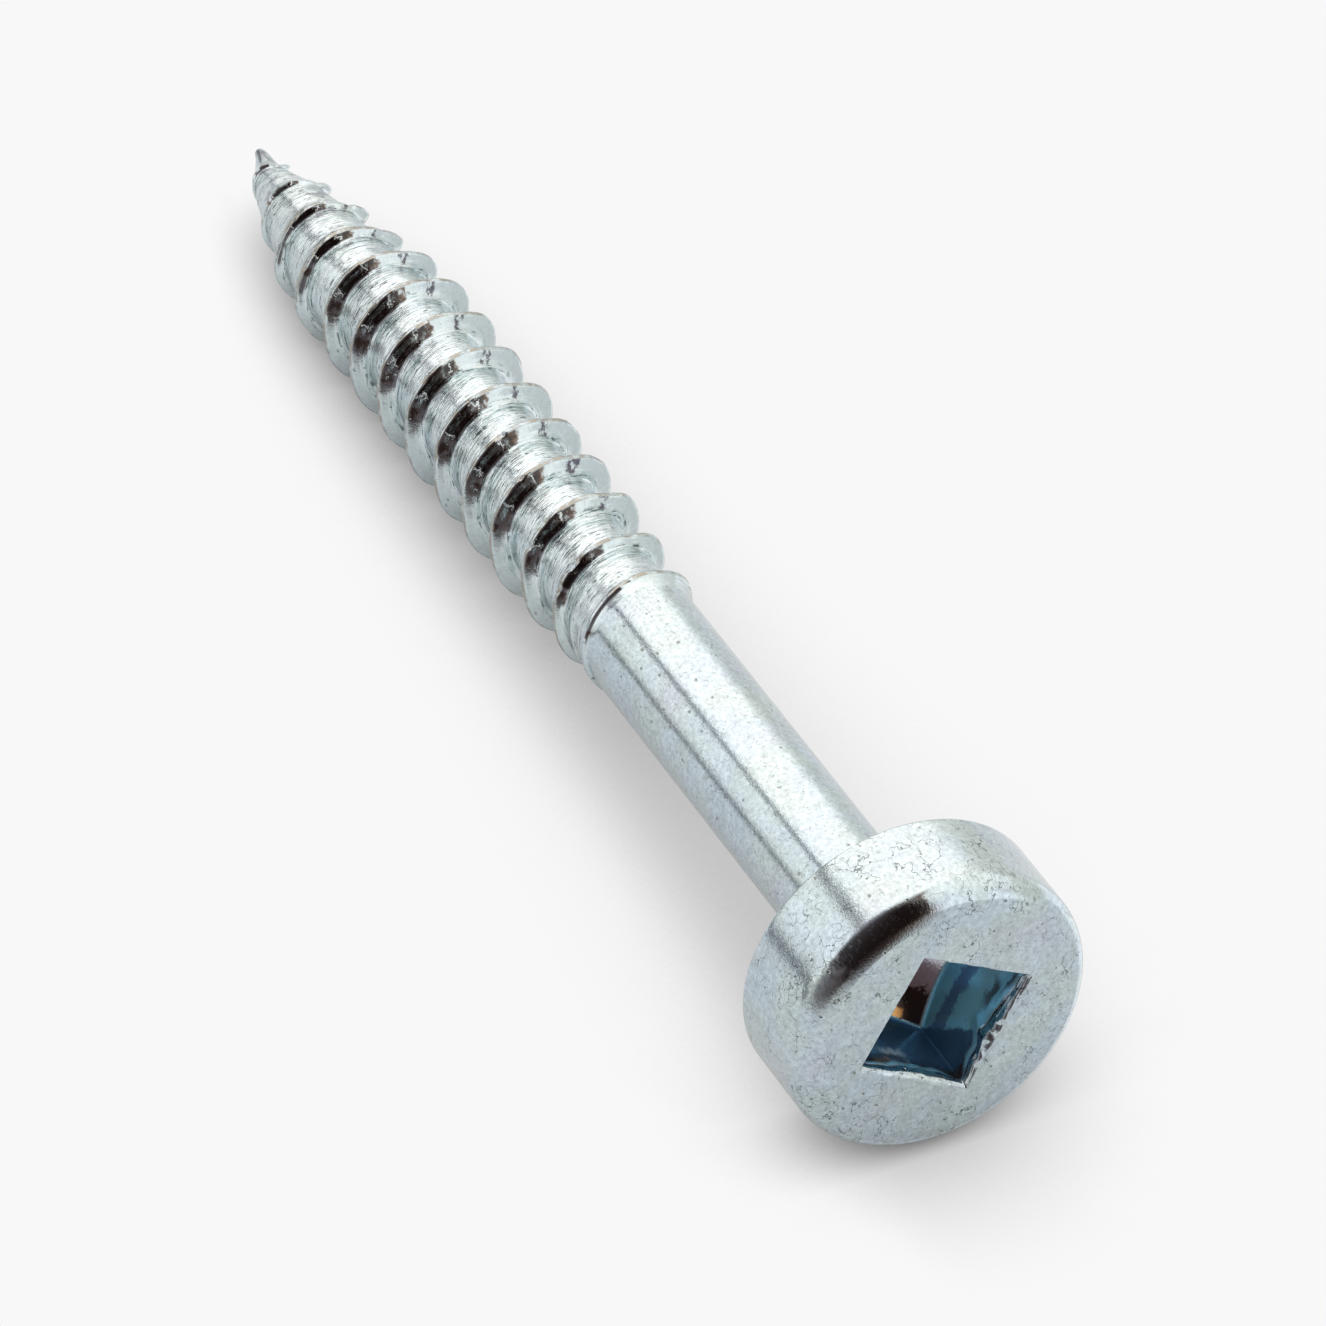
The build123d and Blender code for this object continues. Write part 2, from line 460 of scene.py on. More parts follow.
def grow_walls_and_floor(skin, ring, top, top_half):
    """The recess's drafted walls from its lip down, and its conical floor."""
    corner = RECESS_HALF * sqrt(2)
    foot_half = RECESS_HALF - RECESS_CORNER_DEPTH * tan(radians(RECESS_DRAFT))
    foot_radius = square_radius(foot_half)
    slope = tan(radians(RECESS_FLOOR_SLOPE))
    foot = HEAD_TOP - RECESS_CORNER_DEPTH - (corner - foot_radius) * slope
    for share in np.linspace(0, 1, 27)[1:]:
        half = between((top_half, RECESS_HALF), smooth(0, 0.35, share))
        half = between((half, foot_half), share)
        ring = link(skin, ring, between((top, foot), share), square_radius(half), (0, 1, 0))
    for share in np.linspace(0, 1, 17)[1:-1]:
        r = foot_radius * (1 - share)
        ring = link(skin, ring, foot - (foot_radius - r) * slope, r, (0, FLOOR_TINT, 0))
    apex = HEAD_TOP - RECESS_CORNER_DEPTH - corner * slope
    end = skin.add(np.array([[apex, 0.0, 0.0]]), (0, FLOOR_TINT, 0))
    skin.bridge(ring, np.repeat(end, COLUMNS))


def make_screw():
    """The whole screw as one closed mesh, and its points in millimetres."""
    skin = Skin()
    tip_ring, head_ring = grow_thread(skin)
    grow_tip(skin, tip_ring)
    rim = grow_shank_and_head(skin, head_ring)
    grow_recess(skin, rim)
    return skin.build("screw_body")


# ---------------------------------------------------------------------------------------------
# Shader helpers


class Nodes:
    """A short way to write a node tree."""

    def __init__(self, tree):
        self.tree = tree
        tree.nodes.clear()

    def node(self, kind, inputs=(), **settings):
        """Adds a node. inputs maps a socket to another node's output or to a value."""
        item = self.tree.nodes.new(kind)
        for key, value in settings.items():
            setattr(item, key, value)
        for key, value in dict(inputs).items():
            self.put(item.inputs[key], value)
        return item

    def put(self, socket, value):
        """Links an output to a socket, or sets the socket's value."""
        if isinstance(value, bpy.types.NodeSocket):
            self.tree.links.new(value, socket)
        else:
            socket.default_value = value

    def math(self, operation, a, b=0.0, c=0.0, clamp=False):
        inputs = {0: a, 1: b, 2: c}
        return self.node("ShaderNodeMath", inputs, operation=operation, use_clamp=clamp).outputs[0]

    def vector(self, operation, a, b=(0, 0, 0)):
        item = self.node("ShaderNodeVectorMath", {0: a, 1: b}, operation=operation)
        return item.outputs["Value" if operation in ("DOT_PRODUCT", "LENGTH") else "Vector"]

    def step(self, value, low, high, start=0.0, end=1.0):
        """start below low, end above high, and an S curve between."""
        inputs = {0: value, 1: low, 2: high, 3: start, 4: end}
        return self.node("ShaderNodeMapRange", inputs, interpolation_type="SMOOTHSTEP").outputs[0]

    def band(self, value, centre, half, soft):
        """1 where the value lies within half of the centre, falling to 0 over soft beyond it."""
        away = self.math("ABSOLUTE", self.math("SUBTRACT", value, centre))
        return self.step(away, half, half + soft, 1.0, 0.0)

    def product(self, *shares):
        result = shares[0]
        for share in shares[1:]:
            result = self.math("MULTIPLY", result, share)
        return result

    def split(self, vector):
        return self.node("ShaderNodeSeparateXYZ", {0: vector}).outputs

    def grey(self, value):
        return self.node("ShaderNodeCombineColor", {0: value, 1: value, 2: value}).outputs[0]

    def mix(self, share, a, b, blend="MIX"):
        """Colour a with a share of colour b mixed in."""
        item = self.node("ShaderNodeMix", data_type="RGBA", blend_type=blend)
        for key, value in ((0, share), (6, a), (7, b)):
            self.put(item.inputs[key], value)
        return item.outputs[2]

    def noise(self, vector, scale, detail=2.0, roughness=0.5, w=None):
        """Smooth noise round 0.5, in 3-D or, where w is given, in 4-D."""
        inputs = {"Vector": vector, "Scale": scale, "Detail": detail, "Roughness": roughness}
        if w is not None:
            inputs["W"] = w
        dimensions = "3D" if w is None else "4D"
        item = self.node("ShaderNodeTexNoise", inputs, noise_dimensions=dimensions)
        return item.outputs["Fac"]


def new_material(name):
    """A material and the way to write its nodes."""
    material = bpy.data.materials.new(name)
    material.use_nodes = True
    return material, Nodes(material.node_tree)


# ---------------------------------------------------------------------------------------------
# Zinc plate

# Tints of the plate and its marks
ZINC_BLUE = (0.495, 0.575, 0.63, 1)
ZINC_GREEN = (0.52, 0.60, 0.605, 1)
ZINC_LAVENDER = (0.52, 0.56, 0.62, 1)
SPECK = (0.25, 0.28, 0.275, 1)
HAIR = (0.13, 0.15, 0.145, 1)
OLIVE = (0.20, 0.20, 0.15, 1)
# Tints on the thread
BRIGHT_ROOT = (0.68, 0.75, 0.77, 1)
PALE_FLANK = (0.60, 0.68, 0.68, 1)
TEAL_STREAK = (0.27, 0.38, 0.38, 1)
SCORE = (0.055, 0.08, 0.085, 1)
CREST_TINT = (0.31, 0.285, 0.24, 1)
SMEAR = (0.085, 0.075, 0.10, 1)
# Painted dark reflection: the dark band that the head-side flanks and the head's rounded edge mirror
PAINTED_DARK_REFLECTION = (0.040, 0.028, 0.024, 1)
# Dark brown: on the flanks and the head's rounded edge, the painted reflection of the dark band's
# brown fringe
DARK_BROWN = (0.13, 0.085, 0.06, 1)
SCRATCH = (0.76, 0.80, 0.80, 1)
# Tints in the recess
RECESS_TEAL = (0.27, 0.58, 0.72, 1)
# Painted reflection and painted shade in the recess, laid over its teal
PAINTED_NAVY_REFLECTION = (0.11, 0.17, 0.32, 1)
RECESS_PAINTED_SHADE = (0.07, 0.15, 0.25, 1)
RECESS_DARK_REFLECTION = (0.06, 0.04, 0.03, 1)
FLOOR_LILAC = (0.72, 0.73, 0.82, 1)
RUST = (0.75, 0.42, 0.16, 1)

# Where the photo shows marks, as (middle, half, soft). Turns are angles about X.
SMEAR_TURN = (62.0, 2.6, 3.5)
# The brown fringe at the dark band's edge is painted reflection
FRINGE_TURN = (96.0, 1.0, 4.0)
NICK_TURNS = ((107.0, 0.6, 1.5), (141.0, 0.6, 1.5))
# The dark band on the head-side flanks is painted dark reflection
DARK_BAND_TURN = (120.0, 22.0, 5.0)
WEDGE_TURN = (157.0, 3.0, 5.0)
TIP_SMEAR_TURN = (118.0, 18.0, 14.0)
# On the head's rounded edge
EDGE_FRINGE_TURN = (97.0, 0.8, 1.5)
EDGE_FRINGE_X = (HEAD_TOP - 0.24, 0.10, 0.08)
# The ragged dark patch on the head's rounded edge is painted dark reflection
EDGE_SHADE_TURN = (116.0, 17.0, 8.0)
EDGE_SHADE_X = (HEAD_TOP - 0.22, 0.13, 0.10)
DENT_TURNS = ((59.0, 0.5, 0.8), (64.0, 0.5, 0.8))
DENT_X = (HEAD_TOP - 0.50, 0.06, 0.05)
# In the recess: depth from the top face, and place across it from the axis
NAVY_DEPTH = (1.58, 0.12, 0.10)
PATCH_DEPTH = (0.70, 0.06, 0.16)
PATCH_UP = (0.45, 0.2, 0.25)
PALE_DEPTH = (0.92, 0.03, 0.12)
PALE_RIGHT = (0.0, 0.2, 0.25)
RUST_RIGHT = (0.78, 0.09, 0.06)
RUST_UP = (-1.22, 0.07, 0.06)
# Stretches over which a mark comes on: (from none, to full)
REGULAR_FROM = (-13.5, -14.2)  # from here to the point, every turn repeats the same marks
DARK_BAND_FROM = (-11.6, -12.4)
TIP_SMEAR_FROM = (-29.6, -30.1)
BLOTCHES_FROM = (-24.5, -27.0)
WALL_FROM = (1.32, 1.36)  # out from the axis
RIGHT_RIM = (0.46, 0.36)  # up from this depth
BOTTOM_RIM = (0.6, 0.42)
FLOOR_DARK_BELOW = (-0.50, -0.62)  # up from the axis

LAP_SCALE = 3.1444  # how fine the rolling laps are
RELIEF_DEPTH = 0.012  # height of the relief where its sum is 1


class Plate:
    """The zinc plate while it is built: what its shader reads, and its colour so far."""

    def __init__(self, n):
        self.n = n
        place = n.node("ShaderNodeTexCoord").outputs["Object"]
        self.place = n.vector("MULTIPLY", place, (1 / MM, 1 / MM, 1 / MM))
        self.x, self.y, self.z = n.split(self.place)
        self.turn = n.math("MULTIPLY", n.math("ARCTAN2", self.z, self.y), 180 / pi)
        wobble = n.math("MULTIPLY_ADD", self.noise(4.5, 3.0, 0.6), 26.0, -13.0)
        self.turned = n.math("ADD", self.turn, wobble)  # the angle, with an uneven edge
        zone = n.node("ShaderNodeAttribute", attribute_name="zone").outputs["Vector"]
        self.crest, self.recess, self.root = n.split(zone)
        lay = n.node("ShaderNodeAttribute", attribute_name="lay").outputs["Vector"]
        self.lay_a, self.lay_b, self.height = n.split(lay)
        self.flank = n.product(  # the thread's flank on the head side
            n.step(self.lay_b, 0.0, 0.15),
            n.step(self.height, 0.08, 0.2),
            n.step(self.height, 0.88, 0.98, 1.0, 0.0),
        )
        self.on_head = n.step(self.x, 0.0, 0.1)
        self.colour = None

    def noise(self, scale, detail=2.0, roughness=0.5, w=None):
        """Noise fixed to the metal, with scale counted per millimetre."""
        return self.n.noise(self.place, scale, detail, roughness, w)

    def paint(self, tint, share, strength=1.0):
        """Lays a tint over the colour, where share is above 0."""
        if strength != 1.0:
            share = self.n.math("MULTIPLY", share, strength)
        self.colour = self.n.mix(share, self.colour, tint)


def scaled(n, value, low, high):
    """A noise's middle range, 0.3 to 0.7, stretched to low to high."""
    inputs = {0: value, 1: 0.3, 2: 0.7, 3: low, 4: high}
    return n.node("ShaderNodeMapRange", inputs).outputs[0]


def paint_plate(plate):
    """The passivate's drift of tint, mottle and hairlines. Returns its shares of specks and pits."""
    n = plate.n
    drift = n.step(plate.noise(0.9, 3.0), 0.35, 0.65)
    plate.colour = n.mix(drift, ZINC_GREEN, ZINC_BLUE)
    plate.paint(ZINC_LAVENDER, n.step(plate.noise(0.6, 3.0, w=4.0), 0.52, 0.72, 0.0, 0.7))
    mottle = scaled(n, plate.noise(9.0, 4.0, 0.72), 0.76, 1.20)
    cloud = scaled(n, plate.noise(1.8, 3.0, 0.6), 0.93, 1.05)
    plate.colour = n.mix(1.0, plate.colour, n.grey(n.math("MULTIPLY", mottle, cloud)), "MULTIPLY")

    patches = n.step(plate.noise(2.2, 2.0), 0.42, 0.68)
    specks = n.step(plate.noise(13.0, 2.0, 0.7), 0.58, 0.66)
    specks = n.math("MULTIPLY", specks, n.math("MULTIPLY_ADD", patches, 0.6, 0.3))
    plate.paint(SPECK, specks)
    cells = n.node("ShaderNodeTexVoronoi", {"Vector": plate.place, "Scale": 2.6})
    pits = n.step(cells.outputs["Distance"], 0.06, 0.12, 1.0, 0.0)
    plate.paint(OLIVE, pits, 0.7)
    hair = n.band(plate.noise(1.9, 3.0, 0.55), 0.5, 0.004, 0.006)
    patches = n.step(plate.noise(1.3, 2.0, w=2.0), 0.45, 0.57)
    plate.paint(HAIR, n.product(hair, patches, n.step(plate.x, -0.1, 0.1, 0.25, 0.9)))
    return specks, pits


def rolling_laps(plate):
    """Coarse and fine noise drawn out along the thread, as its rolling laps are."""
    n = plate.n
    inputs = {
        0: n.math("MULTIPLY", plate.lay_a, LAP_SCALE),
        1: n.math("MULTIPLY", plate.lay_b, LAP_SCALE),
        2: n.math("MULTIPLY", plate.y, 1.1),
    }
    place = n.node("ShaderNodeCombineXYZ", inputs).outputs[0]
    w = n.math("MULTIPLY_ADD", plate.z, 1.1, n.math("MULTIPLY", plate.x, 0.3))
    return n.noise(place, 1.0, 3.0, 0.65, w=w), n.noise(place, 2.6, 2.0, 0.6, w=w)


def paint_thread(plate, laps, fine_laps):
    """The pale flanks, the scored root and the worn crest."""
    n = plate.n
    plate.paint(PALE_FLANK, plate.flank, 0.6)
    plate.paint(BRIGHT_ROOT, plate.root, 0.45)
    beside = n.product(plate.root, n.step(plate.lay_b, 0.35, 0.85), n.step(laps, 0.52, 0.42))
    plate.paint(TEAL_STREAK, beside, 0.75)
    broken = n.math("MULTIPLY", n.step(plate.noise(6.0, 2.0), 0.42, 0.55), plate.root)
    plate.paint(SCORE, n.math("MULTIPLY", n.step(laps, 0.36, 0.39, 1.0, 0.0), broken), 0.9)
    plate.paint(SCORE, n.math("MULTIPLY", n.step(fine_laps, 0.385, 0.41, 1.0, 0.0), broken), 0.9)
    plate.paint(SCRATCH, n.math("MULTIPLY", n.step(fine_laps, 0.56, 0.62), plate.root), 0.6)
    worn = n.step(plate.noise(4.0, 3.0), 0.38, 0.58, 0.2, 0.9)
    plate.paint(CREST_TINT, n.math("MULTIPLY", plate.crest, worn))


def paint_flank_marks(plate):
    """The marks that the turns repeat on their head-side flank, among them the dark band that the
    flank mirrors and its brown fringe, both painted reflection. Returns the share of nicks.
    """
    n = plate.n
    regular = n.math("MULTIPLY", plate.flank, n.step(plate.x, *REGULAR_FROM))
    blots = n.step(plate.noise(6.0, 3.0, 0.65), 0.38, 0.52)
    plate.paint(SMEAR, n.product(regular, n.band(plate.turned, *SMEAR_TURN), blots), 0.9)
    # Painted dark reflection: the dark band that each head-side flank mirrors
    dark_band = n.product(plate.flank, n.band(plate.turned, *DARK_BAND_TURN), n.step(plate.x, *DARK_BAND_FROM))
    uneven = n.step(plate.noise(5.5, 4.0, 0.7), 0.30, 0.52, 0.55, 0.95)
    plate.paint(PAINTED_DARK_REFLECTION, n.math("MULTIPLY", dark_band, uneven))
    # Painted reflection: the brown fringe at the edge of the mirrored dark band
    plate.paint(DARK_BROWN, n.product(regular, n.band(plate.turned, *FRINGE_TURN), blots), 0.8)
    nicks = n.math("MAXIMUM", *[n.band(plate.turned, *turn) for turn in NICK_TURNS])
    nicks = n.product(regular, nicks, n.step(plate.height, 0.2, 0.45))
    plate.paint(SCRATCH, nicks, 0.8)
    wedge = n.product(plate.flank, n.band(plate.turned, *WEDGE_TURN))
    plate.paint(DARK_BROWN, n.math("MULTIPLY", wedge, n.step(plate.noise(4.0, 3.0), 0.4, 0.55)), 0.85)
    return nicks


def paint_point(plate):
    """Smears on the tip and blotches between the crests of the point."""
    n = plate.n
    tip = n.product(n.step(plate.x, *TIP_SMEAR_FROM), n.band(plate.turn, *TIP_SMEAR_TURN))
    plate.paint(SMEAR, tip, 0.6)
    blotches = n.step(plate.noise(1.9, 3.0, 0.6), 0.56, 0.64)
    between = n.math("MULTIPLY", n.step(plate.x, *BLOTCHES_FROM), n.step(plate.height, 0.5, 0.3))
    plate.paint(SMEAR, n.math("MULTIPLY", blotches, between), 0.55)


def paint_recess(plate):
    """Teal walls with a navy stripe and dark patches of painted reflection and with painted shade,
    and a floor with a painted dark reflection and a spot of rust.
    """
    n = plate.n
    plate.paint(RECESS_TEAL, plate.recess)
    waver = n.math("MULTIPLY_ADD", plate.noise(5.0, 4.0, 0.7), 0.5, -0.25)
    depth = n.math("ADD", n.math("SUBTRACT", HEAD_TOP, plate.x), waver)
    flat = radians(RECESS_TURN)
    rightward = n.vector("DOT_PRODUCT", plate.place, (0, sin(flat), -cos(flat)))
    upward = n.vector("DOT_PRODUCT", plate.place, (0, cos(flat), sin(flat)))
    inside = n.step(plate.recess, 0.5, 0.9)
    right_wall = n.math("MULTIPLY", n.step(rightward, *WALL_FROM), inside)
    bottom_wall = n.math("MULTIPLY", n.step(n.math("MULTIPLY", upward, -1.0), *WALL_FROM), inside)

    # Painted reflection: a navy stripe mirrored on the right wall
    plate.paint(PAINTED_NAVY_REFLECTION, n.math("MULTIPLY", right_wall, n.band(depth, *NAVY_DEPTH)), 0.85)
    # Painted dark reflection: a dark patch on the right wall
    patch = n.product(right_wall, n.band(depth, *PATCH_DEPTH), n.band(upward, *PATCH_UP))
    plate.paint(RECESS_DARK_REFLECTION, patch, 0.85)
    # Painted shade: the right wall's lower part and the whole bottom wall
    slant = n.math("MULTIPLY_ADD", depth, 0.72, upward)
    lower = n.math("MULTIPLY", right_wall, n.step(slant, -0.04, 0.10, 1.0, 0.0))
    plate.paint(RECESS_PAINTED_SHADE, n.math("MAXIMUM", lower, bottom_wall))
    # Painted dark reflection along the mouth of the bottom and right walls
    bottom_rim = n.math("MULTIPLY", bottom_wall, n.step(depth, *BOTTOM_RIM))
    right_rim = n.math("MULTIPLY", right_wall, n.step(depth, *RIGHT_RIM))
    plate.paint(RECESS_DARK_REFLECTION, n.math("MAXIMUM", bottom_rim, right_rim), 0.9)
    pale = n.product(bottom_wall, n.band(depth, *PALE_DEPTH), n.band(rightward, *PALE_RIGHT))
    plate.paint(SCRATCH, pale, 0.5)

    floor = n.band(plate.recess, FLOOR_TINT, 0.02, 0.04)
    plate.paint(FLOOR_LILAC, floor)
    # Painted dark reflection over the lower part of the recess floor
    floor_dark_edge = n.math("MULTIPLY_ADD", plate.noise(3.0, 4.0, 0.65), 0.9, -0.45)
    floor_dark = n.step(n.math("ADD", upward, floor_dark_edge), *FLOOR_DARK_BELOW, 0.0, 0.95)
    plate.paint(RECESS_DARK_REFLECTION, n.math("MULTIPLY", floor, floor_dark))
    spot = n.math("MULTIPLY", n.band(rightward, *RUST_RIGHT), n.band(upward, *RUST_UP))
    plate.paint(RUST, n.math("MULTIPLY", spot, floor))


def paint_head_edge(plate):
    """On the head's rounded edge: a brown fringe and a ragged dark patch, both painted reflection of
    the dark band it mirrors, and two small dents.
    """
    n = plate.n
    # Painted reflection: the brown fringe at the edge of the mirrored dark band
    fringe = n.product(
        n.band(plate.x, *EDGE_FRINGE_X),
        n.band(plate.turned, *EDGE_FRINGE_TURN),
        plate.on_head,
    )
    plate.paint(DARK_BROWN, fringe, 0.7)
    # Painted dark reflection: the ragged dark patch that the rounded edge mirrors
    shade = n.product(
        n.band(plate.x, *EDGE_SHADE_X),
        n.band(plate.turned, *EDGE_SHADE_TURN),
        plate.on_head,
        n.step(plate.noise(9.0, 4.0, 0.75), 0.36, 0.46, 0.35, 0.85),
    )
    plate.paint(PAINTED_DARK_REFLECTION, shade)
    dents = n.math("MAXIMUM", *[n.band(plate.turn, *turn) for turn in DENT_TURNS])
    dents = n.math("MULTIPLY", dents, n.band(plate.x, *DENT_X))
    plate.paint(SPECK, dents, 0.55)


def plate_relief(plate, laps, fine_laps, pits, nicks):
    """The bumpy surface, as a normal."""
    n = plate.n
    scars = n.math("MULTIPLY", plate.noise(7.0, 3.0, 0.6), plate.flank)
    parts = (
        (plate.noise(20.0, 3.0, 0.7), 0.34),
        (plate.noise(5.0, 3.0, 0.6), 0.3),
        (laps, n.math("MULTIPLY", plate.root, 2.0)),
        (fine_laps, n.math("MULTIPLY", plate.root, 1.7)),
        (scars, 0.4),
        (pits, -1.5),
        (nicks, -4.0),
    )
    relief = 0.0
    for height, weight in parts:
        relief = n.math("MULTIPLY_ADD", height, weight, relief)
    inputs = {"Strength": 0.6, "Distance": RELIEF_DEPTH * MM, "Height": relief}
    return n.node("ShaderNodeBump", inputs).outputs[0]


def zinc_material():
    """Bright zinc plate with a clear passivate, with the screw's own marks and with painted
    reflection and painted shade.
    """
    material, n = new_material("zinc_plate")
    plate = Plate(n)
    specks, pits = paint_plate(plate)
    laps, fine_laps = rolling_laps(plate)
    paint_thread(plate, laps, fine_laps)
    nicks = paint_flank_marks(plate)
    paint_point(plate)
    paint_recess(plate)
    paint_head_edge(plate)
    rough = n.math("MULTIPLY_ADD", plate.noise(8.0, 2.0), 0.08, 0.055)
    inputs = {
        "Base Color": plate.colour,
        "Metallic": n.step(plate.recess, 0.1, 1.0, 1.0, 0.5),
        "Roughness": n.math("MULTIPLY_ADD", specks, 0.08, rough, clamp=True),
        "Normal": plate_relief(plate, laps, fine_laps, pits, nicks),
    }
    shader = n.node("ShaderNodeBsdfPrincipled", inputs)
    n.node("ShaderNodeOutputMaterial", {"Surface": shader.outputs[0]})
    return material


# ---------------------------------------------------------------------------------------------
# Studio

# A direction is its azimuth, in degrees from +X towards +Y, and its elevation

# The sheet that the screw lies on
SHEET_LIGHT = 0.94
SHEET_EXPOSURE = (1.30, 1.15)  # on the -Y side and beyond: over-exposed, so only shade shows
SHEET_EDGE = (-3.0, -0.8)  # where along Y the one goes over to the other
SHEET_REACH = 120.0
SHEET_RINGS = 24
SHEET_SPOKES = 96
SHADE_REACH = 20.0  # how far off a thing still shades it
GLOW_RISES = (80, 95)  # azimuths between which its mirror image is brighter
GLOW_FALLS = (119, 124)
# The tent
DAYLIGHT = 0.98  # for all that isn't a mirror image
TENT_LOW = (0.92, 0.91, 0.86, 1)
TENT_MIDDLE = (1.46, 1.42, 1.36, 1)
TENT_HIGH = (1.68, 1.64, 1.60, 1)
TENT_BACK = (1.88, 1.77, 1.70, 1)
TENT_WALL = (1.36, 1.34, 1.32, 1)
BACK_WAY = (165, 42)
LEFT_WALL_AZIMUTH = (-126, 16, 10)  # middle, half and soft, as for the marks
# Two dark seams in it
UPPER_SEAM = (0.34, 0.34, 0.37, 1)
UPPER_SEAM_AT = (-150, 39)
UPPER_SEAM_TOWARDS = (-137, 25)
UPPER_SEAM_HALF = 2.0
UPPER_SEAM_SOFT = 1.2
LOWER_SEAM = (0.18, 0.18, 0.20, 1)
LOWER_SEAM_AZIMUTH = (-140, 36, 10)
LOWER_SEAM_ELEVATION = (2.2, 2.8, 1.0)
# The dark opening round the camera
OPENING_RIGHT = (13, 21)
OPENING_FOOT = -28.0  # elevation of its lower edge at OPENING_AZIMUTH
OPENING_AZIMUTH = 12.0
OPENING_SLOPE = -0.33
OPENING_LEFT = (-92.0, -137.0)  # azimuth of its left edge, at these two elevations
OPENING_LEFT_AT = (35, 62)
OPENING_WIDTH = 96.0
OPENING_WARM = (0.070, 0.040, 0.038, 1)
OPENING_COOL = (0.37, 0.35, 0.37, 1)
OPENING_FRINGE = (0.35, 0.20, 0.12, 1)
OPENING_FRINGE_AZIMUTH = (17, 2, 3)

# The camera, from the fit to the photograph. It looks at CAMERA_TARGET.
CAMERA_AZIMUTH = -26.712
CAMERA_ELEVATION = 39.670
CAMERA_DISTANCE = 193.694
CAMERA_TARGET = (-10.274, 0.028, 0.0)
SENSOR_WIDTH = 36.0
LENS = 250.3


def toward(azimuth, elevation):
    """The unit vector in a direction."""
    a = radians(azimuth)
    e = radians(elevation)
    return Vector((cos(a) * cos(e), sin(a) * cos(e), sin(e)))


def sky_angles(n, way):
    """Azimuth and elevation of a vector."""
    x, y, z = n.split(way)
    azimuth = n.math("MULTIPLY", n.math("ARCTAN2", y, x), 180 / pi)
    elevation = n.math("MULTIPLY", n.math("ARCSINE", z), 180 / pi)
    return azimuth, elevation


def camera_opening(n, azimuth, elevation):
    """The dark opening that the camera looks through: its share of a direction, and its colour."""
    right = n.step(azimuth, *OPENING_RIGHT, 1.0, 0.0)
    foot = OPENING_FOOT - OPENING_AZIMUTH * OPENING_SLOPE
    foot = n.math("MULTIPLY_ADD", azimuth, OPENING_SLOPE, foot)
    low = n.step(n.math("SUBTRACT", elevation, foot), -8, 8)
    left_edge = n.step(elevation, *OPENING_LEFT_AT, *OPENING_LEFT)
    left = n.step(n.math("SUBTRACT", azimuth, left_edge), -16, 16)
    top = n.step(elevation, 79, 89, 1.0, 0.4)
    share = n.product(right, low, left, top)
    inward = n.math("MULTIPLY_ADD", azimuth, -1 / OPENING_WIDTH, OPENING_AZIMUTH / OPENING_WIDTH)
    inward = n.math("POWER", n.math("MAXIMUM", inward, 0.0), 2.0, clamp=True)
    colour = n.mix(inward, OPENING_WARM, OPENING_COOL)
    fringe = n.product(
        n.band(azimuth, *OPENING_FRINGE_AZIMUTH),
        n.step(elevation, -22, -12),
        n.step(elevation, 26, 36, 1.0, 0.0),
    )
    return share, n.mix(n.math("MULTIPLY", fringe, 0.8), colour, OPENING_FRINGE)


def upper_seam(n, way):
    """1 on a thin line through UPPER_SEAM_AT, square to the way towards UPPER_SEAM_TOWARDS."""
    middle = toward(*UPPER_SEAM_AT)
    along = toward(*UPPER_SEAM_TOWARDS)
    normal = (along - middle * along.dot(middle)).normalized()
    offset = n.math("ABSOLUTE", n.vector("DOT_PRODUCT", way, normal))
    near = n.step(n.vector("DOT_PRODUCT", way, middle), 0.55, 0.8)
    dark = sin(radians(UPPER_SEAM_HALF))
    clear = sin(radians(UPPER_SEAM_HALF + UPPER_SEAM_SOFT))
    line = n.step(offset, dark, clear, 1.0, 0.0)
    return n.math("MULTIPLY", line, near)


def lower_seam(n, azimuth, elevation):
    """1 on a level line at LOWER_SEAM_ELEVATION."""
    return n.product(
        n.band(elevation, *LOWER_SEAM_ELEVATION),
        n.band(azimuth, *LOWER_SEAM_AZIMUTH),
    )


def tent_light(n, way, azimuth, elevation):
    """What the metal mirrors: a white tent that is brightest overhead and at the back."""
    tent = n.mix(n.step(elevation, 4, 34), TENT_LOW, TENT_MIDDLE)
    tent = n.mix(n.step(elevation, 48, 62), tent, TENT_HIGH)
    back = n.vector("DOT_PRODUCT", way, toward(*BACK_WAY))
    tent = n.mix(n.step(back, 0.82, 0.95), tent, TENT_BACK)
    right_wall = n.product(
        n.step(azimuth, 12, 20),
        n.step(azimuth, 50, 64, 1.0, 0.0),
        n.step(elevation, -10, -4),
        n.step(elevation, 40, 60, 1.0, 0.0),
    )
    tent = n.mix(right_wall, tent, TENT_WALL)
    left_wall = n.product(
        n.band(azimuth, *LEFT_WALL_AZIMUTH),
        n.step(elevation, 4, 22),
        n.step(elevation, 40, 50, 1.0, 0.0),
    )
    tent = n.mix(left_wall, tent, TENT_WALL)
    tent = n.mix(upper_seam(n, way), tent, UPPER_SEAM)
    tent = n.mix(lower_seam(n, azimuth, elevation), tent, LOWER_SEAM)
    opening, gloom = camera_opening(n, azimuth, elevation)
    return n.mix(opening, tent, gloom)


def studio_world():
    """The tent for the metal's mirror images, and even light for everything else."""
    world = bpy.data.worlds.new("studio")
    bpy.context.scene.world = world
    world.use_nodes = True
    n = Nodes(world.node_tree)
    way = n.node("ShaderNodeTexCoord").outputs["Generated"]
    ray = n.node("ShaderNodeLightPath").outputs
    tent = tent_light(n, way, *sky_angles(n, way))
    seen = n.mix(ray["Is Glossy Ray"], n.grey(DAYLIGHT), tent)
    seen = n.mix(ray["Is Camera Ray"], seen, n.grey(SHEET_LIGHT))
    light = n.node("ShaderNodeBackground", {"Color": seen, "Strength": 1.0})
    n.node("ShaderNodeOutputWorld", {"Surface": light.outputs[0]})


